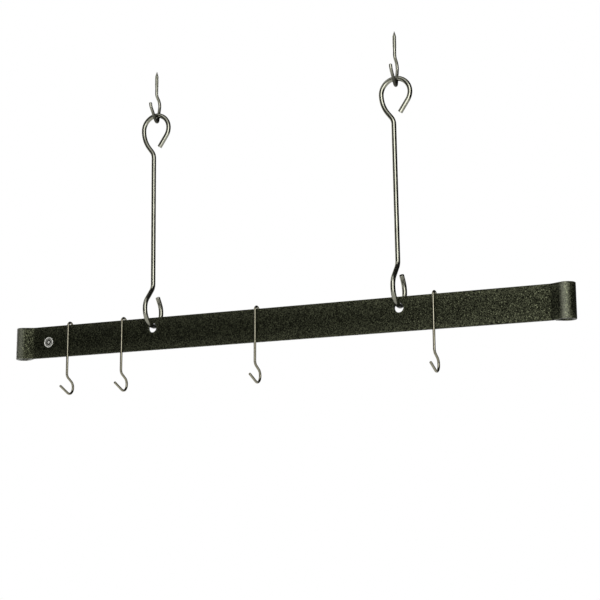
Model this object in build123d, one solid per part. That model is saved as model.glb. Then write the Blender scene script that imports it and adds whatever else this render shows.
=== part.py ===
"""Ceiling pot rack: a flat steel bar with rolled ends, on two long hangers that hang from screw hooks in
the ceiling, with four wire pot hooks over its top edge.

Millimetres. The origin is on the ceiling, midway between the two screws. +X runs along the bar to the
right, +Y runs from the front of the rack to its back, +Z is up.
"""
from build123d import *
import math
import os

os.makedirs("parts", exist_ok=True)

# Rack
SCREW_SPACING = 406.4      # between the two ceiling screws, and between the two holes in the bar
HANG_GAP = 0.4             # between a hanging piece and what it hangs on

# Bar
BAR_LENGTH = 914.4         # over both rolled ends
BAR_HEIGHT = 50.8
BAR_THICK = 4.76
BAR_EDGE_R = 0.9           # rounding of the strip's long edges
BAR_HOLE_D = 14.0
BAR_HOLE_BELOW_TOP = 16.0  # top edge to the hole's centre
HOLE_EDGE_R = 0.6          # rounding of the hole's rims
EYE_OUTER_D = 25.0         # rolled end
EYE_SET_BACK = 1.2         # the eye's centre behind the bar's middle plane
NECK_R = 8.0               # bend out of the flat, to the strip's middle
NECK_TURN = 26.0           # degrees, slope of the straight neck between the flat and the eye
TAIL_RISE = 35.0           # degrees, slope of the strip's end back to the bar
TAIL_RUN = 12.6            # straight end of the strip, stops just short of the neck's back

# Ceiling hook
SCREW_WIRE = 5.0
SCREW_LENGTH = 30.0        # above the ceiling
SCREW_POINT = 8.0          # length of the cone at its tip
SCREW_NECK = 6.1           # straight below the ceiling
SHOULDER_R = 9.0           # first bend, away from the screw's axis
SHOULDER_TURN = 56.5
BACK_R = 14.0              # second bend, over the back of the hook
BACK_SLOPE = 12.0          # degrees from plumb, the hook's back side
FRONT_SLOPE = 40.0         # degrees from plumb, the hook's front side
VEE_R = 4.0                # bend at the bottom, to the wire's middle
FRONT_RUN = 21.0           # straight front side
FRONT_R = 14.0             # the free end bends back to plumb

# Hanger, a long rod with a loop at its top and a wider crook at its bottom, a quarter turn apart
HANGER_WIRE = 7.4
HANGER_DROP = 341.0        # between the wire's middles at the two ends
HANGER_CUT_R = 0.6         # rounding of its sawn ends
HANGER_NECK_R = 18.0       # bend from the rod into either end
END_PAST = 35.0            # degrees that either end runs past its widest point
LOOP_R = 22.5
LOOP_SHIFT = 4.0           # the loop's centre is off the rod's axis
LOOP_SIDE_R = 50.0         # longer bend down the loop's side
LOOP_SIDE_TURN = 37.0
LOOP_RUN = 21.5            # straight free end
CROOK_R = 24.5
CROOK_SHIFT = 0.5
CROOK_SIDE_TURN = 42.0
CROOK_RUN = 11.0

# Pot hook
POT_WIRE = 4.0
POT_X = (-356.2, -256.2, -23.9, 256.3)
ARCH_R = 6.0               # over the bar's top edge, to the wire's middle
STEM_FRONT = 5.8           # the stem's middle in front of the bar's middle plane
BACK_LEG = 22.0
STEM_RUN = 76.2
JOG_R = 8.0                # first bend, toward the back
JOG_TURN = 60.0
JOG_RUN = 10.0
BOWL_R = 10.6              # round the bottom of the hook
LIP_RISE = 24.0            # degrees, slope of the front lip
LIP_RUN = 22.7


def bend(plane, start, heading, moves):
    """Path of a bent wire: (0, length) is a straight run, (radius, degrees) a bend, + to the left."""
    edges = []
    x, y = start
    for radius, amount in moves:
        a = math.radians(heading)
        if radius == 0:
            end = (x + amount * math.cos(a), y + amount * math.sin(a))
            edges.append(Line(plane.from_local_coords((x, y, 0)), plane.from_local_coords((*end, 0))))
        else:
            side = math.copysign(radius, amount)
            centre = (x - side * math.sin(a), y + side * math.cos(a))
            points = [(x, y)]
            for part in (0.5, 1.0):
                b = a + part * math.radians(amount)
                points.append((centre[0] + side * math.sin(b), centre[1] - side * math.cos(b)))
            edges.append(ThreePointArc(*[plane.from_local_coords((*p, 0)) for p in points]))
            end = points[-1]
            heading += amount
        x, y = end
    return edges


def round_wire(edges, diameter, cut_r, cut_ends=(0, 1)):
    """Round wire along joined edges, its rims rounded by cut_r at its start (0) or its end (1)."""
    path = Wire(edges)
    section = Plane(path.position_at(0), z_dir=path.tangent_at(0)) * Circle(diameter / 2)
    wire = sweep(section, path=path)
    ends = [path.position_at(end) for end in cut_ends]
    rims = [e for e in wire.edges().filter_by(GeomType.CIRCLE)
            if any((e.arc_center - end).length < 0.01 for end in ends)]
    return fillet(rims, cut_r)


def named(shape, name):
    """One solid, labelled and written to its own file."""
    solid = shape.solids()[0]
    solid.label = name
    export_step(solid, f"parts/{name}.step")
    return solid


# Heights from the ceiling down. The loop's wire sits wedged between the two sides of the ceiling hook's
# bottom, which leans forward, and the bar hangs on the crook's wire by the top of its hole.
back_sin = math.sin(math.radians(BACK_SLOPE))
back_cos = math.cos(math.radians(BACK_SLOPE))
shoulder_sin = math.sin(math.radians(SHOULDER_TURN))
shoulder_cos = math.cos(math.radians(SHOULDER_TURN))
half_angle = math.radians(BACK_SLOPE + FRONT_SLOPE) / 2
vee_lean = math.radians(FRONT_SLOPE - BACK_SLOPE) / 2
seat = (SCREW_WIRE + HANGER_WIRE) / 2 + HANG_GAP
wedge = (seat - VEE_R) / math.sin(half_angle)
vee_y = wedge * math.sin(vee_lean)
back_y = SHOULDER_R * (1 - shoulder_cos) + BACK_R * (back_cos - shoulder_cos)
back_run = (back_y - vee_y - VEE_R * back_cos) / back_sin
vee_z = -(SCREW_NECK + SHOULDER_R * shoulder_sin + BACK_R * (back_sin + shoulder_sin) + back_run * back_cos
          - VEE_R * back_sin)
loop_z = vee_z + wedge * math.cos(vee_lean)
crook_z = loop_z - HANGER_DROP
hole_z = crook_z + HANGER_WIRE / 2 + HANG_GAP - BAR_HOLE_D / 2
bar_top_z = hole_z + BAR_HOLE_BELOW_TOP
bar_mid_z = bar_top_z - BAR_HEIGHT / 2


# Ceiling hook: threaded shank, round shoulder to the back, narrow bottom, open front
hook_path = bend(Plane.YZ, (0, 0), -90, [
    (0, SCREW_NECK),
    (SHOULDER_R, SHOULDER_TURN),
    (BACK_R, -(SHOULDER_TURN + BACK_SLOPE)),
    (0, back_run),
    (VEE_R, -(180 - BACK_SLOPE - FRONT_SLOPE)),
    (0, FRONT_RUN),
    (FRONT_R, -FRONT_SLOPE),
])
shank = Pos(0, 0, (SCREW_LENGTH - SCREW_POINT) / 2) * Cylinder(SCREW_WIRE / 2, SCREW_LENGTH - SCREW_POINT)
point = Pos(0, 0, SCREW_LENGTH - SCREW_POINT / 2) * Cone(SCREW_WIRE / 2, 0.4, SCREW_POINT)
ceiling_hook = round_wire(hook_path, SCREW_WIRE, 0.3 * SCREW_WIRE, cut_ends=(1,)) + shank + point

for side, name in ((-1, "ceiling_hook_left"), (1, "ceiling_hook_right")):
    named(Pos(side * SCREW_SPACING / 2, 0, 0) * ceiling_hook, name)


# Hanger: the loop lies along the bar, the crook goes through the bar's hole from the front to the back
def hanger_end(radius, shift, side_radius, side_turn, run):
    """Moves from the rod round one end of the hanger to its free end, and that end's height."""
    side_sin = math.sin(math.radians(side_turn))
    side_cos = math.cos(math.radians(side_turn))
    neck_run = (radius - shift - (side_radius + HANGER_NECK_R) * (1 - side_cos)) / side_sin
    height = radius + (side_radius + HANGER_NECK_R) * side_sin + neck_run * side_cos
    moves = [
        (HANGER_NECK_R, side_turn),
        (0, neck_run),
        (side_radius, -side_turn),
        (radius, -(180 + END_PAST)),
        (0, run),
    ]
    return moves, height


loop, loop_height = hanger_end(LOOP_R, LOOP_SHIFT, LOOP_SIDE_R, LOOP_SIDE_TURN, LOOP_RUN)
crook, crook_height = hanger_end(CROOK_R, CROOK_SHIFT, CROOK_R, CROOK_SIDE_TURN, CROOK_RUN)
rod_top = HANGER_DROP / 2 - loop_height
rod_low = crook_height - HANGER_DROP / 2
upper = bend(Plane.XZ, (0, rod_top), 90, loop)
lower = bend(Plane.YZ, (0, rod_low), -90, [(r, -a) if r else (r, a) for r, a in crook])
rod = Line((0, 0, rod_low), (0, 0, rod_top))
hanger = round_wire(lower[::-1] + [rod] + upper, HANGER_WIRE, HANGER_CUT_R)
lean_x = math.degrees(math.atan(LOOP_SHIFT / HANGER_DROP))
lean_y = math.degrees(math.atan(CROOK_SHIFT / HANGER_DROP))
hanger = Rot(-lean_y, -lean_x, 0) * Pos(-LOOP_SHIFT / 2, -CROOK_SHIFT / 2, 0) * hanger

for side, name in ((-1, "hanger_left"), (1, "hanger_right")):
    named(Pos(side * SCREW_SPACING / 2, 0, (loop_z + crook_z) / 2) * hanger, name)


# Bar: strip on edge, its ends rolled forward, round and back onto themselves
eye_r = (EYE_OUTER_D - BAR_THICK) / 2
neck_sin = math.sin(math.radians(NECK_TURN))
neck_cos = math.cos(math.radians(NECK_TURN))
neck_run = (eye_r * neck_cos - NECK_R * (1 - neck_cos) - EYE_SET_BACK) / neck_sin
flat_half = BAR_LENGTH / 2 - EYE_OUTER_D / 2 - (NECK_R + eye_r) * neck_sin - neck_run * neck_cos
roll = [
    (0, flat_half),
    (NECK_R, -NECK_TURN),
    (0, neck_run),
    (eye_r, NECK_TURN + 180 + TAIL_RISE),
    (0, TAIL_RUN),
]
right_half = bend(Plane.XY, (0, 0), 0, roll)
strip_path = Wire(right_half)
strip = sweep(Plane(strip_path.position_at(0), x_dir=(0, 1, 0), z_dir=(1, 0, 0))
              * RectangleRounded(BAR_THICK, BAR_HEIGHT, BAR_EDGE_R), path=strip_path)
hole = Cylinder(BAR_HOLE_D / 2, 4 * BAR_THICK)
hole = Pos(SCREW_SPACING / 2, 0, hole_z - bar_mid_z) * Rot(90, 0, 0) * hole
strip = strip - hole
rims = [e for e in strip.edges().filter_by(GeomType.CIRCLE) if abs(e.radius - BAR_HOLE_D / 2) < 0.01]
strip = fillet(rims, HOLE_EDGE_R)
bar = strip + mirror(strip, about=Plane.YZ)
named(Pos(0, 0, bar_mid_z) * bar, "bar")


# Pot hooks: short leg behind the bar, arch over its top edge, long stem in front, open bowl with a lip
arch_z = math.sqrt((ARCH_R - POT_WIRE / 2 - HANG_GAP) ** 2 - (ARCH_R - STEM_FRONT + BAR_THICK / 2) ** 2)
pot_path = bend(Plane.YZ, (2 * ARCH_R, -BACK_LEG), 90, [
    (0, BACK_LEG),
    (ARCH_R, 180),
    (0, STEM_RUN),
    (JOG_R, JOG_TURN),
    (0, JOG_RUN),
    (BOWL_R, -(90 + JOG_TURN + LIP_RISE)),
    (0, LIP_RUN),
])
pot_hook = round_wire(pot_path, POT_WIRE, 0.3 * POT_WIRE)

for number, x in enumerate(POT_X, start=1):
    named(Pos(x, -STEM_FRONT, bar_top_z - arch_z) * pot_hook, f"pot_hook_{number}")
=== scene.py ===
import math

import bpy
import numpy as np
from mathutils import Matrix, Vector


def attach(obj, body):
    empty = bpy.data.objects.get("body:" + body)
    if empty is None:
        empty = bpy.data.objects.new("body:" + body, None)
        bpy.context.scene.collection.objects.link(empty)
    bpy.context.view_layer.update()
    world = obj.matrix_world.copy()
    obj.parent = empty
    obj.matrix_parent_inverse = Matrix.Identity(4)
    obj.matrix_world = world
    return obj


# Ceiling pot rack in metres: the origin is on the ceiling midway between the two screws, +X runs along the bar,
# +Y from the front to the back, +Z up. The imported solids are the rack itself; this file gives them their finishes
# and adds the screw threads and the badge.
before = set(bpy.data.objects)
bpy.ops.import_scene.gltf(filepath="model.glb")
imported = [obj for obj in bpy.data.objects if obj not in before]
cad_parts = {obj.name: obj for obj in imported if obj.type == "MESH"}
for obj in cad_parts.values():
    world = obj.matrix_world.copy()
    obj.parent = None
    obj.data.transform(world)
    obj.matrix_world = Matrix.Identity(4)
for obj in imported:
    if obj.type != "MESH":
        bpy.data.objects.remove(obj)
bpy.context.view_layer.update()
MM = 0.001


# Ceiling hooks
# Two screw hooks of drawn steel wire, bent cold to a narrow bottom and left grey under thin clear lacquer.
# The thread is rolled onto each shank, so it stands a little proud of the wire, and screws into a joist.
SCREW_X = 203.2 * MM                  # either side of the middle
SHANK_R = 2.5 * MM
SHANK_TOP = 30 * MM
POINT_FROM = 22 * MM                  # the shank tapers to its point from here
POINT_R = 0.4 * MM
THREAD_FROM, THREAD_TO = 3 * MM, 29 * MM
THREAD_PITCH = 2.2 * MM
THREAD_HEIGHT = 0.5 * MM
THREAD_WIDTH = 1.1 * MM               # at its foot
THREAD_SUNK = 0.2 * MM                # the foot lies this deep in the shank
HOOK_BOTTOM = (SCREW_X, 0, -47 * MM)  # where the hanger's loop rubs on it


def mesh_piece(name, points, faces):
    """An object at the origin whose mesh has these points, a row of coordinates each, and these faces."""
    mesh = bpy.data.meshes.new(name)
    mesh.from_pydata(points.tolist(), [], [list(face) for face in faces])
    mesh.polygons.foreach_set("use_smooth", np.ones(len(faces), bool))
    mesh.validate()
    piece = bpy.data.objects.new(name, mesh)
    bpy.context.scene.collection.objects.link(piece)
    return piece


def grid_faces(rows, columns, closed):
    """Quads of a grid of points stored row by row. A closed grid joins its last column to its first."""
    row, column = np.meshgrid(np.arange(rows - 1), np.arange(columns if closed else columns - 1), indexing="ij")
    after = (column + 1) % columns
    here, next_row = row * columns, (row + 1) * columns
    corners = (here + column, here + after, next_row + after, next_row + column)
    return np.stack([c.ravel() for c in corners], 1).tolist()


def rolled_thread(name, screw_x):
    """A ridge of four-sided section carried up a helix. Along the thread the height grows by one pitch for each turn,
    the radius is the shank's own at that height plus the section's, and the ridge rises from nothing and dies away
    within a turn at either end. The sunken foot closes the section, and a face closes each end."""
    turns = (THREAD_TO - THREAD_FROM) / THREAD_PITCH
    along = np.linspace(0, turns, int(turns * 40))[:, None]
    rise = np.clip(np.minimum(along, turns - along), 0, 1)
    across = np.array([-0.5, -0.14, 0.14, 0.5]) * THREAD_WIDTH
    lift = np.array([0, 1, 1, 0]) * (THREAD_HEIGHT + THREAD_SUNK) * rise - THREAD_SUNK
    z = THREAD_FROM + THREAD_PITCH * along + across * (0.15 + 0.85 * rise)
    taper = np.clip((SHANK_TOP - z) / (SHANK_TOP - POINT_FROM), 0, 1)
    radius = POINT_R + (SHANK_R - POINT_R) * taper + lift * (0.3 + 0.7 * taper)
    turn = 2 * math.pi * along
    points = np.stack([screw_x + radius * np.cos(turn), radius * np.sin(turn), z], 2).reshape(-1, 3)
    ends = [(3, 2, 1, 0), tuple(len(points) - 4 + np.arange(4))]
    return mesh_piece(name, points, grid_faces(len(along), 4, True) + ends)


def linear(colour):
    """Linear RGBA of an sRGB hex colour: c / 12.92 up to 0.04045, ((c + 0.055) / 1.055) ** 2.4 above it."""
    c = np.array([int(colour[i:i + 2], 16) for i in (1, 3, 5)]) / 255
    return (*np.where(c <= 0.04045, c / 12.92, ((c + 0.055) / 1.055) ** 2.4), 1.0)


def node(tree, kind, inputs, **settings):
    """Adds a node with its settings, and fills its inputs, each with a value or a link from another node."""
    made = tree.nodes.new(kind)
    for name, value in settings.items():
        setattr(made, name, value)
    for socket, value in inputs.items():
        if isinstance(value, bpy.types.NodeSocket):
            tree.links.new(value, made.inputs[socket])
        else:
            made.inputs[socket].default_value = value
    return made


def bare_material(name):
    """A material with only its shader, and the place on the rack that its patterns read."""
    material = bpy.data.materials.new(name)
    material.use_nodes = True
    tree = material.node_tree
    place = node(tree, "ShaderNodeTexCoord", {}).outputs["Object"]
    return material, tree, tree.nodes["Principled BSDF"], place


def draw_marks(tree, place, across):
    """Fine lines that the drawing die leaves along a wire. A wire that bends in one plane keeps its distance from
    that plane, so noise that is fine across the plane (axis 0 or 1) and 80 mm long in it follows every bend.
    The lines are drawn 0.6 mm wide, coarser than real ones, so that they show."""
    scale = [1 / (80 * MM)] * 3
    scale[across] = 1 / (0.6 * MM)
    stretched = node(tree, "ShaderNodeVectorMath", {0: place, 1: scale}, operation="MULTIPLY").outputs[0]
    return node(tree, "ShaderNodeTexNoise", {"Vector": stretched, "Scale": 1, "Detail": 3}).outputs["Fac"]


def near(tree, place, point, reach):
    """1 at a point and at its mirror images to the left and behind, falling smoothly to 0 at some reach from each."""
    folded = node(tree, "ShaderNodeVectorMath", {0: place}, operation="ABSOLUTE").outputs[0]
    away = node(tree, "ShaderNodeVectorMath", {0: folded, 1: [abs(v) for v in point]}, operation="DISTANCE")
    return node(tree, "ShaderNodeMapRange", {"Value": away.outputs["Value"], 1: 0, 2: reach, 3: 1, 4: 0},
                interpolation_type="SMOOTHSTEP").outputs[0]


def lacquered_steel(name, marks_on, shaded_rests):
    """Cold drawn steel wire under thin clear lacquer: grey and half glossy, with faint lines along the wire, darker
    clouds of mill scale some 14 mm across, and black painted shade where each wire rests on the next."""
    material, tree, shader, place = bare_material(name)
    marks = marks_on(tree, place)
    clouds = node(tree, "ShaderNodeTexNoise", {"Vector": place, "Scale": 1 / (14 * MM), "Detail": 1}).outputs["Fac"]
    cloudy = node(tree, "ShaderNodeMapRange", {"Value": clouds, 1: 0.35, 2: 0.7, 3: 0, 4: 1}).outputs[0]
    steel = node(tree, "ShaderNodeMix", {0: cloudy, 6: linear("#949487"), 7: linear("#868679")}, data_type="RGBA")
    lined = node(tree, "ShaderNodeMapRange", {"Value": marks, 1: 0.3, 2: 0.7, 3: 0.08, 4: 0.0}).outputs[0]
    steel = node(tree, "ShaderNodeMix", {0: lined, 6: steel.outputs[2], 7: linear("#6d6d60")}, data_type="RGBA")
    # Painted shade: near each rest the wire is darkened to near black, for the shadow where it meets the next wire.
    for point, reach in shaded_rests:
        rest_shade = near(tree, place, point, reach)
        steel = node(tree, "ShaderNodeMix", {0: rest_shade, 6: steel.outputs[2], 7: linear("#1e1e19")}, data_type="RGBA")
    tree.links.new(steel.outputs[2], shader.inputs["Base Color"])
    rough = node(tree, "ShaderNodeMapRange", {"Value": marks, 1: 0.3, 2: 0.7, 3: 0.26, 4: 0.2}).outputs[0]
    tree.links.new(rough, shader.inputs["Roughness"])
    bump = node(tree, "ShaderNodeBump", {"Height": marks, "Strength": 0.08, "Distance": 0.05 * MM})
    tree.links.new(bump.outputs[0], shader.inputs["Normal"])
    shader.inputs["Metallic"].default_value = 1.0
    return material


# The ceiling hook's bottom, where the hanger's loop rests, gets painted shade.
hook_steel = lacquered_steel("lacquered_drawn_steel_hook", lambda tree, place: draw_marks(tree, place, 0),
                             [(HOOK_BOTTOM, 26 * MM)])
for side, screw_x in (("left", -SCREW_X), ("right", SCREW_X)):
    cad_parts[f"ceiling_hook_{side}"].material_slots[0].material = hook_steel
    thread = rolled_thread(f"screw_thread_{side}", screw_x)
    thread.data.materials.append(hook_steel)
    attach(thread, "ceiling_hooks")


# Hangers
# Two long hooks of thick drawn steel rod, bent cold to a loop at the top and a wider crook at the bottom, a quarter
# turn apart. The loop hangs in the ceiling hook and the crook goes through the bar from the front.
HANGER_MIDDLE = -214 * MM             # half way up the straight rod
UPPER_REST = (SCREW_X, 0, -43.5 * MM)    # the loop on the ceiling hook
LOWER_REST = (SCREW_X, 0, -384.5 * MM)   # the crook in the bar's hole


def hanger_marks(tree, place):
    """Draw marks that follow both the loop, whose plane lies across Y, and the crook, whose plane lies across X. They
    change over on the straight rod, where both run along it."""
    height = node(tree, "ShaderNodeSeparateXYZ", {0: place}).outputs["Z"]
    upper = node(tree, "ShaderNodeMapRange", {"Value": height, 1: HANGER_MIDDLE - 50 * MM,
                                              2: HANGER_MIDDLE + 50 * MM})
    return node(tree, "ShaderNodeMix", {0: upper.outputs[0], 2: draw_marks(tree, place, 0),
                                        3: draw_marks(tree, place, 1)}).outputs[0]


# Painted shade where the loop rests on the ceiling hook and where the crook dips into the bar's hole.
rod_steel = lacquered_steel("lacquered_drawn_steel_rod", hanger_marks,
                            [(UPPER_REST, 6 * MM), (LOWER_REST, 26 * MM)])
for side in ("left", "right"):
    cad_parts[f"hanger_{side}"].material_slots[0].material = rod_steel


# Bar
# A steel strip set on edge, its ends rolled into eyes, with a hole near each end for the hangers.
# It is finished in a near-black hammered powder coat, paler towards its long edges and round the holes, with a
# painted highlight on the outsides of the rolled ends.
BAR_MIDDLE_Z = -396.79 * MM
BAR_HALF_HEIGHT = 25.4 * MM
HOLE_AT = (SCREW_X, 0, -387.39 * MM)
HOLE_R = 7.0 * MM
EDGE_REACH = 19 * MM                  # how far the paler band runs in from the long edges
CROWN_AT = (444 * MM, -10.5 * MM, 0)  # the outside of a rolled end, in plan, where a highlight is painted
CROWN_HIGHLIGHT_REACH = 9 * MM
DIMPLE_WIDE = 1.2 * MM


def hammered_coat():
    """Hammer-finish powder coat: near-black olive paint with pale metal flake, drawn up into soft dimples that break
    its half-gloss shine into specks. Clouds some 90 mm across come from uneven thickness. The dimples are drawn a
    little coarser than real ones, so that they show."""
    material, tree, shader, place = bare_material("hammered_powder_coat")
    dimples = node(tree, "ShaderNodeTexVoronoi", {"Vector": place, "Scale": 1 / DIMPLE_WIDE, "Smoothness": 0.5},
                   feature="SMOOTH_F1")
    pool = node(tree, "ShaderNodeSeparateColor", {0: dimples.outputs["Color"]}).outputs["Green"]
    flecks = node(tree, "ShaderNodeMapRange", {"Value": pool, 1: 0.45, 2: 1, 3: 0, 4: 1}).outputs[0]
    clouds = node(tree, "ShaderNodeTexNoise", {"Vector": place, "Scale": 1 / (90 * MM), "Detail": 3}).outputs["Fac"]
    paint = node(tree, "ShaderNodeMix", {0: clouds, 6: linear("#050603"), 7: linear("#0b0c08")}, data_type="RGBA")
    paint = node(tree, "ShaderNodeMix", {0: flecks, 6: paint.outputs[2], 7: linear("#23251a")}, data_type="RGBA")

    # Paler towards the long edges and round the holes, patchy with the dimples.
    height = node(tree, "ShaderNodeSeparateXYZ", {0: place}).outputs["Z"]
    from_middle = node(tree, "ShaderNodeMath", {0: height, 1: -BAR_MIDDLE_Z}, operation="ADD").outputs[0]
    from_middle = node(tree, "ShaderNodeMath", {0: from_middle}, operation="ABSOLUTE").outputs[0]
    edge = node(tree, "ShaderNodeMapRange", {"Value": from_middle, 1: BAR_HALF_HEIGHT - EDGE_REACH,
                                             2: BAR_HALF_HEIGHT, 3: 0, 4: 0.24},
                interpolation_type="SMOOTHSTEP").outputs[0]
    hole = near(tree, place, HOLE_AT, 2.0 * HOLE_R)
    edge_and_hole_paling = node(tree, "ShaderNodeMath", {0: edge, 1: hole}, operation="MAXIMUM").outputs[0]
    edge_and_hole_paling = node(tree, "ShaderNodeMath", {0: edge_and_hole_paling, 1: pool}, operation="MULTIPLY").outputs[0]
    paint = node(tree, "ShaderNodeMix", {0: edge_and_hole_paling, 6: paint.outputs[2], 7: linear("#5a5c4a")}, data_type="RGBA")

    # Painted highlight: the outsides of the rolled ends are painted paler, patchy with the dimples, for the light
    # they catch.
    plan = node(tree, "ShaderNodeVectorMath", {0: place, 1: (1, 1, 0)}, operation="MULTIPLY").outputs[0]
    patchy = node(tree, "ShaderNodeMapRange", {"Value": pool, 1: 0, 2: 1, 3: 0.5, 4: 1}).outputs[0]
    crown_highlight = near(tree, plan, CROWN_AT, CROWN_HIGHLIGHT_REACH)
    crown_highlight = node(tree, "ShaderNodeMath", {0: crown_highlight, 1: patchy}, operation="MULTIPLY").outputs[0]
    paint = node(tree, "ShaderNodeMix", {0: crown_highlight, 6: paint.outputs[2], 7: linear("#76786a")}, data_type="RGBA")
    tree.links.new(paint.outputs[2], shader.inputs["Base Color"])

    rough = node(tree, "ShaderNodeMapRange", {"Value": pool, 1: 0, 2: 1, 3: 0.38, 4: 0.26}).outputs[0]
    tree.links.new(rough, shader.inputs["Roughness"])
    shine = node(tree, "ShaderNodeMapRange", {"Value": pool, 1: 0.2, 2: 1, 3: 0.08, 4: 1}).outputs[0]
    tree.links.new(shine, shader.inputs["Specular IOR Level"])

    # Each dimple leans its own way: its height is the place in it times a slope taken from its random colour.
    inside = node(tree, "ShaderNodeVectorMath", {0: place, 1: dimples.outputs["Position"]}, operation="SUBTRACT")
    slope = node(tree, "ShaderNodeVectorMath", {0: (0.5, 0.5, 0.5), 1: dimples.outputs["Color"]},
                 operation="SUBTRACT")
    facet = node(tree, "ShaderNodeVectorMath", {0: inside.outputs[0], 1: slope.outputs[0]},
                 operation="DOT_PRODUCT").outputs["Value"]
    bump = node(tree, "ShaderNodeBump", {"Height": facet, "Strength": 1.0, "Distance": 0.48})
    tree.links.new(bump.outputs[0], shader.inputs["Normal"])
    shader.inputs["Specular Tint"].default_value = linear("#f6fdca")
    return material


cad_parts["bar"].material_slots[0].material = hammered_coat()


# Badge
# A small round tag of cast white metal, pressed flat onto the bar's front near its left end. It has a raised rim,
# a ring of beads and a low boss, all plain, and dark patina in its recesses.
BADGE_AT = (-395 * MM, -2.38 * MM, -397.2 * MM)
BADGE_R = 8.4 * MM
BADGE_THICK = 1.0 * MM
BEADS = 24
BEAD_RING_R = 5.0 * MM
BEAD_R = 0.5 * MM


def badge_disc():
    """A surface of radius and angle. Its height follows a profile of the radius: low boss, sunken field, rim,
    bevelled edge down to the bar. The beads are half balls added on the field at equal angles round their ring."""
    radius = np.concatenate([[0.001], np.linspace(0.04, 0.97, 52), [0.99, 1, 1]]) * BADGE_R
    steps = np.array([0, 0.17, 0.27, 0.33, 0.76, 0.82, 0.95, 0.99, 1]) * BADGE_R
    heights = np.array([0.85, 0.8, 0.55, 0.42, 0.42, 0.9, 1.0, 0.8, 0.5]) * BADGE_THICK
    angle = np.linspace(0, 2 * math.pi, BEADS * 10, endpoint=False)
    height = np.interp(radius, steps, heights)
    height[-1] = -0.1 * MM
    r, a = np.meshgrid(radius, angle, indexing="ij")
    spread = 2 * math.pi / BEADS
    off = np.hypot(r - BEAD_RING_R, BEAD_RING_R * ((a + spread / 2) % spread - spread / 2))
    bead = np.sqrt(np.clip(BEAD_R ** 2 - off ** 2, 0, None))
    out = height[:, None] + 0.8 * bead
    points = np.stack([BADGE_AT[0] + r * np.cos(a), BADGE_AT[1] - out, BADGE_AT[2] + r * np.sin(a)], 2).reshape(-1, 3)
    count = len(angle)
    faces = [face[::-1] for face in grid_faces(len(radius), count, True)]
    middle = list(range(count))
    back = list(range(len(points) - count, len(points)))[::-1]
    return mesh_piece("badge", points, faces + [middle, back])


def cast_white_metal():
    """Cast white metal, tumbled bright on what stands up and left dark in the recesses, with a fine sandy skin."""
    material, tree, shader, place = bare_material("tumbled_white_metal")
    depth = node(tree, "ShaderNodeSeparateXYZ", {0: place}).outputs["Y"]
    raised = node(tree, "ShaderNodeMapRange", {"Value": depth, 1: BADGE_AT[1] - 0.42 * BADGE_THICK,
                                               2: BADGE_AT[1] - 0.8 * BADGE_THICK, 3: 0, 4: 1}).outputs[0]
    sand = node(tree, "ShaderNodeTexNoise", {"Vector": place, "Scale": 1 / (0.4 * MM), "Detail": 3}).outputs["Fac"]
    metal = node(tree, "ShaderNodeMix", {0: raised, 6: linear("#32322b"), 7: linear("#eeeee6")}, data_type="RGBA")
    tree.links.new(metal.outputs[2], shader.inputs["Base Color"])
    rough = node(tree, "ShaderNodeMapRange", {"Value": sand, 1: 0.3, 2: 0.7, 3: 0.3, 4: 0.5}).outputs[0]
    tree.links.new(rough, shader.inputs["Roughness"])
    bump = node(tree, "ShaderNodeBump", {"Height": sand, "Strength": 0.3, "Distance": 0.1 * MM})
    tree.links.new(bump.outputs[0], shader.inputs["Normal"])
    shader.inputs["Metallic"].default_value = 0.6
    return material


badge = badge_disc()
badge.data.materials.append(cast_white_metal())
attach(badge, "rack_bar")


# Pot hooks
# Four hooks of thin steel wire, bent in one plane and plated with bright nickel. Each hangs over the bar's top edge
# and slides along it; its open bowl takes a pot's ring.
def bright_nickel():
    """Bright nickel plate: warm silver, nearly a mirror, over the wire's faint draw marks, with small dull spots."""
    material, tree, shader, place = bare_material("bright_nickel_plate")
    marks = draw_marks(tree, place, 0)
    spots = node(tree, "ShaderNodeTexNoise", {"Vector": place, "Scale": 1 / (6 * MM), "Detail": 1}).outputs["Fac"]
    dull = node(tree, "ShaderNodeMapRange", {"Value": spots, 1: 0.55, 2: 0.75, 3: 0, 4: 1}).outputs[0]
    plate = node(tree, "ShaderNodeMix", {0: dull, 6: linear("#868373"), 7: linear("#777363")}, data_type="RGBA")
    tree.links.new(plate.outputs[2], shader.inputs["Base Color"])
    rough = node(tree, "ShaderNodeMapRange", {"Value": spots, 1: 0.4, 2: 0.75, 3: 0.14, 4: 0.2}).outputs[0]
    tree.links.new(rough, shader.inputs["Roughness"])
    bump = node(tree, "ShaderNodeBump", {"Height": marks, "Strength": 0.05, "Distance": 0.04 * MM})
    tree.links.new(bump.outputs[0], shader.inputs["Normal"])
    shader.inputs["Metallic"].default_value = 1.0
    return material


nickel = bright_nickel()
for number in (1, 2, 3, 4):
    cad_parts[f"pot_hook_{number}"].material_slots[0].material = nickel


# Studio
# A pale floor 3 m below the ceiling, soft boxes in front, above, at the left and behind, and a white backdrop.
# The camera stands to the right of the rack, below the bar, and looks up at it.
FLOOR_Z = -3.0
FLOOR_R = 9.0
BACKDROP_TOWARDS = (-0.687, 0.704, 0.183)   # from the rack to the backdrop's middle
ROOM_LEVEL = 0.2                      # the light that the room itself gives
FLOOR_WHITE = 0.78                    # added to the lit floor where it is seen, to make it white


def floor_disc():
    """A flat disc as a surface of radius and angle."""
    rings, spokes = 12, 96
    radius, angle = np.meshgrid(np.linspace(0.001, FLOOR_R, rings),
                                np.linspace(0, 2 * math.pi, spokes, endpoint=False), indexing="ij")
    points = np.stack([radius * np.cos(angle), radius * np.sin(angle), np.full_like(radius, FLOOR_Z)], 2)
    middle = list(range(spokes))[::-1]
    return mesh_piece("floor", points.reshape(-1, 3), grid_faces(rings, spokes, True) + [middle])


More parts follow.
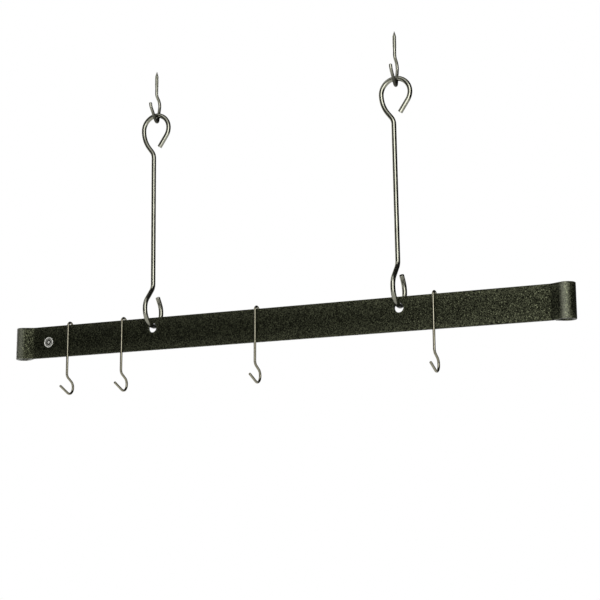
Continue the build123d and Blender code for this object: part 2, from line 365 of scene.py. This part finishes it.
def seen_rays(tree):
    """1 for rays that see the background itself: from the camera, off a glossy surface or through a clear one."""
    path = node(tree, "ShaderNodeLightPath", {})
    seen = node(tree, "ShaderNodeMath", {0: path.outputs["Is Camera Ray"], 1: path.outputs["Is Glossy Ray"]},
                operation="MAXIMUM").outputs[0]
    return node(tree, "ShaderNodeMath", {0: seen, 1: path.outputs["Is Transmission Ray"]},
                operation="MAXIMUM").outputs[0]


floor = floor_disc()
floor_paint, tree, shader, place = bare_material("pale_floor")
shader.inputs["Base Color"].default_value = linear("#ecece9")
shader.inputs["Roughness"].default_value = 0.8
shader.inputs["Emission Color"].default_value = linear("#ffffff")
lift = node(tree, "ShaderNodeMath", {0: seen_rays(tree), 1: FLOOR_WHITE}, operation="MULTIPLY").outputs[0]
tree.links.new(lift, shader.inputs["Emission Strength"])
floor.data.materials.append(floor_paint)

# The camera sees white all round. Shiny metal sees the backdrop behind the rack and a dark room beside it.
world = bpy.data.worlds.new("studio")
bpy.context.scene.world = world
world.use_nodes = True
tree = world.node_tree
camera_ray = node(tree, "ShaderNodeLightPath", {}).outputs["Is Camera Ray"]
towards = node(tree, "ShaderNodeTexCoord", {}).outputs["Generated"]
behind = node(tree, "ShaderNodeVectorMath", {0: towards, 1: BACKDROP_TOWARDS},
              operation="DOT_PRODUCT").outputs["Value"]
backdrop = node(tree, "ShaderNodeMapRange", {"Value": behind, 1: 0.8, 2: 0.92, 3: 0.02, 4: 1}).outputs[0]
backdrop = node(tree, "ShaderNodeMath", {0: backdrop, 1: camera_ray}, operation="MAXIMUM").outputs[0]
level = node(tree, "ShaderNodeMix", {0: seen_rays(tree), 2: ROOM_LEVEL, 3: backdrop}).outputs[0]
tree.links.new(level, tree.nodes["Background"].inputs["Strength"])
tree.nodes["Background"].inputs["Color"].default_value = (1, 1, 1, 1)

LIGHT_AIM = Vector((0, 0, -0.2))
for name, at, width, tall, power in (
        ("right_box", (0.78, -1.3, 0.0), 1.0, 1.8, 24.0),
        ("left_box", (-0.9, -1.5, 0.0), 2.0, 2.8, 1.4),
        ("side_box", (-1.4, 0.5, 0.0), 1.4, 2.4, 9.5),
        ("top_box", (-0.1, -0.9, 1.0), 1.6, 1.0, 6.0),
        ("back_box", (-0.4, 1.8, 0.1), 2.0, 1.8, 6.0)):
    lamp = bpy.data.lights.new(name, "AREA")
    lamp.shape = "RECTANGLE"
    lamp.size, lamp.size_y, lamp.energy = width, tall, power
    light = bpy.data.objects.new(name, lamp)
    light.location = at
    light.rotation_euler = (LIGHT_AIM - Vector(at)).to_track_quat("-Z", "Y").to_euler()
    light.visible_camera = False
    bpy.context.scene.collection.objects.link(light)

CAMERA_AT = (0.85247, -1.78098, -0.72782)
CAMERA_TURN = math.radians(24.3215)   # to the left
CAMERA_TILT = math.radians(10.5599)   # up
CAMERA_ROLL = math.radians(-0.2644)
camera = bpy.data.objects.new("camera", bpy.data.cameras.new("camera"))
camera.data.sensor_width = 36
camera.data.lens = 80.589
camera.matrix_world = (Matrix.Translation(CAMERA_AT) @ Matrix.Rotation(CAMERA_TURN, 4, "Z")
                       @ Matrix.Rotation(math.pi / 2 + CAMERA_TILT, 4, "X") @ Matrix.Rotation(CAMERA_ROLL, 4, "Z"))
bpy.context.scene.collection.objects.link(camera)
bpy.context.scene.camera = camera
bpy.context.scene.view_settings.view_transform = "Standard"
